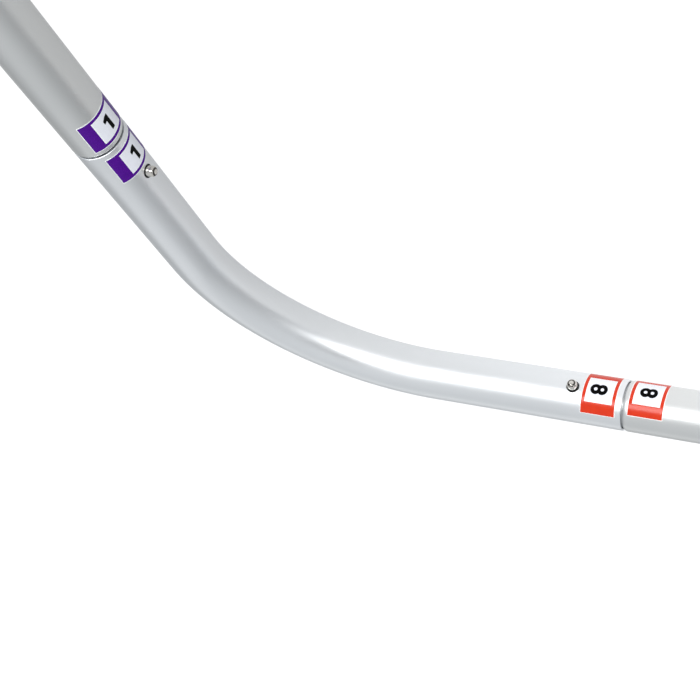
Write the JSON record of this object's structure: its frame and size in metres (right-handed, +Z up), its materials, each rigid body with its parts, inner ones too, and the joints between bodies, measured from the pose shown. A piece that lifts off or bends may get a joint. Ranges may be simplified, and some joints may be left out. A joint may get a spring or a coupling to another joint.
{
  "type": "snap-button tube corner",
  "caption": "Round aluminium tube frame corner: a bent tube with a straight tube locked into each end by a sprung snap button, with matching number labels at each joint.",
  "frame": {"origin": "middle of the part's footprint, on the surface it lies on", "axes": "+Z up, across the tubes; +X along the side tube of joint 1, away from the corner; -Y along the side tube of joint 8, away from the corner"},
  "size_m": [0.6244, 0.6244, 0.032],
  "materials": {
    "corner_aluminium": "satin anodised",
    "side_aluminium": "satin anodised",
    "button_nickel": "bright nickel plated",
    "spring_steel": "bare spring steel",
    "label_1": "printed vinyl",
    "label_8": "printed vinyl",
    "label_2": "printed vinyl",
    "label_7": "printed vinyl"
  },
  "bodies": {
    "tube_corner": {"corner_tube": "corner_aluminium", "side_tube_1": "side_aluminium", "side_tube_8": "side_aluminium", "latch_spring_1": "spring_steel", "latch_spring_2": "spring_steel", "latch_spring_7": "spring_steel", "latch_spring_8": "spring_steel", "label_1_corner": "label_1", "label_1_side": "label_1", "label_2_side": "label_2", "label_7_side": "label_7", "label_8_corner": "label_8", "label_8_side": "label_8"},
    "button_1": {"snap_button_1": "button_nickel"},
    "button_2": {"snap_button_2": "button_nickel"},
    "button_7": {"snap_button_7": "button_nickel"},
    "button_8": {"snap_button_8": "button_nickel"}
  },
  "joints": [
    {"name": "snap_button_1_press", "type": "slide", "parent": "tube_corner", "child": "button_1", "axis": [0, 1, 0], "range_m": [0, 0.0072], "stiffness_N_per_m": 2500, "springref_m": -0.002, "deforming": ["latch_spring_1"]},
    {"name": "snap_button_2_press", "type": "slide", "parent": "tube_corner", "child": "button_2", "axis": [0, 1, 0], "range_m": [0, 0.0072], "stiffness_N_per_m": 2500, "springref_m": -0.002, "deforming": ["latch_spring_2"]},
    {"name": "snap_button_7_press", "type": "slide", "parent": "tube_corner", "child": "button_7", "axis": [-1, 0, 0], "range_m": [0, 0.0072], "stiffness_N_per_m": 2500, "springref_m": -0.002, "deforming": ["latch_spring_7"]},
    {"name": "snap_button_8_press", "type": "slide", "parent": "tube_corner", "child": "button_8", "axis": [-1, 0, 0], "range_m": [0, 0.0072], "stiffness_N_per_m": 2500, "springref_m": -0.002, "deforming": ["latch_spring_8"]}
  ]
}
